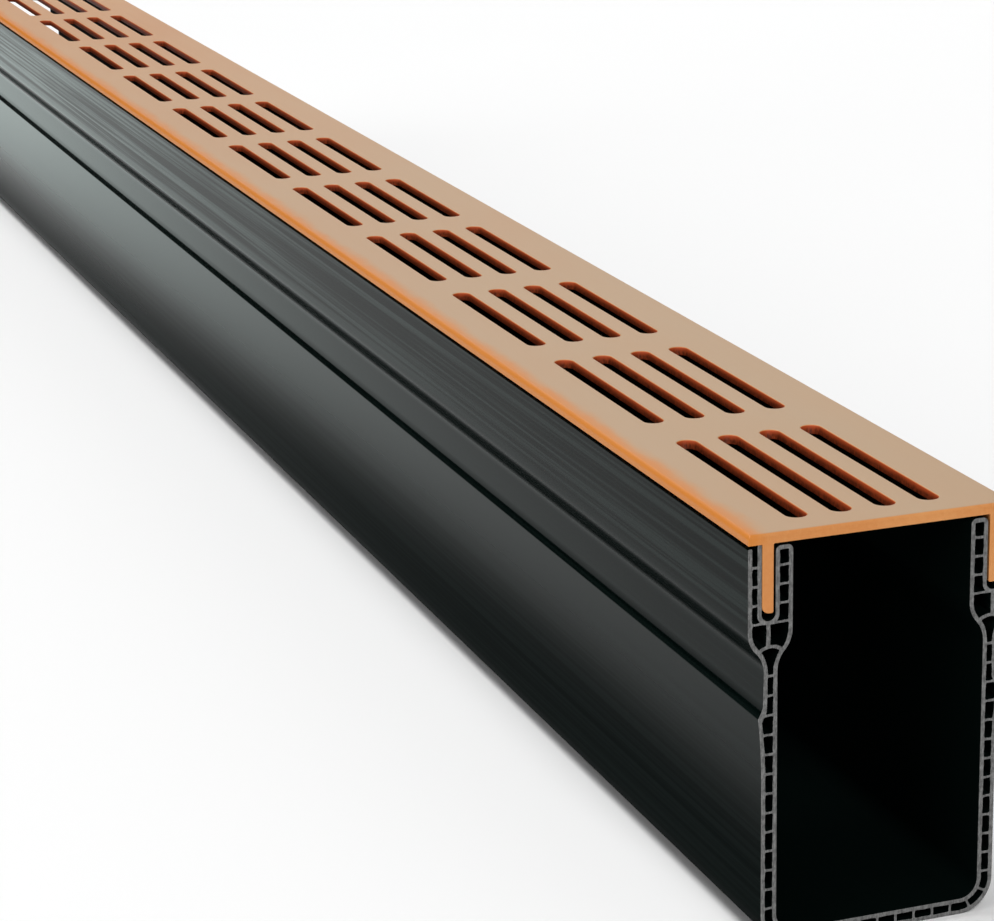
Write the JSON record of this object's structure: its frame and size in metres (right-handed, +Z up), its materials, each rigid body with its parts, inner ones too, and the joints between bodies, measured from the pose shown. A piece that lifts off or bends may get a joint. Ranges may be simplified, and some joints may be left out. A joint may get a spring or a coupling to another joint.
{
  "type": "channel drain",
  "caption": "Straight length of twin-wall plastic drainage channel, open at both ends, with a slotted metal grate whose two legs drop into grooves along the walls.",
  "frame": {"origin": "middle of the channel's underside: half way along and half way across, on the surface that it stands on", "axes": "+X along the drain, +Y across it, +Z up out of the grate"},
  "size_m": [1, 0.066, 0.1],
  "materials": {
    "channel_plastic": "black extruded plastic, satin outside, grey where it is sawn",
    "grate_finish": "satin copper-tan colour finish"
  },
  "bodies": {
    "root": {"channel_body": "channel_plastic", "slotted_grate": "grate_finish"}
  },
  "joints": []
}
